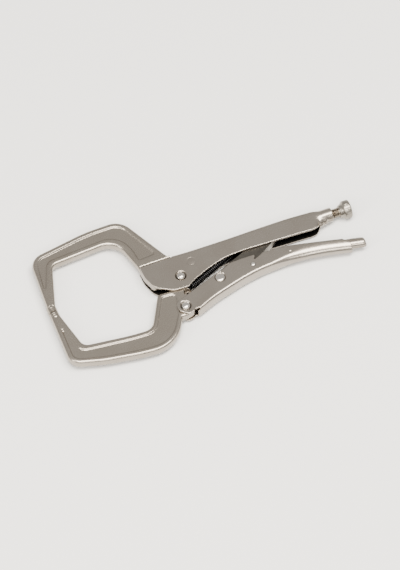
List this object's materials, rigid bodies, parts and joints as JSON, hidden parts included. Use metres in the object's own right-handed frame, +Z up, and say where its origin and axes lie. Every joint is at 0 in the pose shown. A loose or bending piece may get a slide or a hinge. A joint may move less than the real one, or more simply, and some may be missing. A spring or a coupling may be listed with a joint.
{
  "type": "locking c-clamp pliers",
  "caption": "Locking C-clamp pliers with wide forged jaws, round clamping pads, folded sheet handles, toggle link, release lever, spring and adjusting screw.",
  "frame": {"origin": "middle of the tool's box in plan, at the level of its lowest point, the knob's rim, with the tool lying on its side", "axes": "+X along the upper handle towards the adjusting screw, +Y from the moving jaw towards the fixed jaw, +Z up along the rivets"},
  "size_m": [0.2832, 0.1386, 0.0162],
  "materials": {
    "handle_sheet": "satin",
    "forged_jaw": "satin",
    "inner_sheet": "satin",
    "rivet": "satin",
    "screw": "satin",
    "spring": "matte"
  },
  "bodies": {
    "fixed_half": {"upper_handle": "handle_sheet", "upper_jaw": "forged_jaw", "jaw_pivot_rivet": "rivet", "jaw_fixing_pin": "rivet", "main_spring": "spring"},
    "moving_jaw": {"lower_jaw": "forged_jaw"},
    "moving_handle": {"lower_handle": "handle_sheet", "handle_pivot_rivet": "rivet", "link_pivot_rivet": "rivet", "lever_pivot_pin": "rivet"},
    "link": {"toggle_link": "inner_sheet"},
    "lever": {"release_lever": "inner_sheet"},
    "screw": {"adjusting_screw": "screw"}
  },
  "joints": [
    {"name": "jaw_hinge", "type": "hinge", "parent": "fixed_half", "child": "moving_jaw", "pos_m": [-0.02096, -0.00526, 0.0081], "axis": [0, 0, 1], "range_deg": [0, 30], "deforming": ["main_spring"]},
    {"name": "handle_hinge", "type": "hinge", "parent": "moving_jaw", "child": "moving_handle", "pos_m": [-0.02816, -0.03606, 0.0081], "axis": [0, 0, 1], "range_deg": [-69, 0]},
    {"name": "link_hinge", "type": "hinge", "parent": "moving_handle", "child": "link", "pos_m": [0.01004, -0.01876, 0.0081], "axis": [0, 0, 1], "range_deg": [0, 64.5]},
    {"name": "lever_hinge", "type": "hinge", "parent": "moving_handle", "child": "lever", "pos_m": [0.04134, -0.01666, 0.0081], "axis": [0, 0, 1], "range_deg": [0, 5]},
    {"name": "screw_slide", "type": "slide", "parent": "fixed_half", "child": "screw", "axis": [1, 0, 0], "range_m": [0, 0.02]}
  ],
  "couplings": [
    {"joint": "handle_hinge", "follows": "jaw_hinge", "ratio": -2.28},
    {"joint": "link_hinge", "follows": "jaw_hinge", "ratio": 2.13}
  ]
}
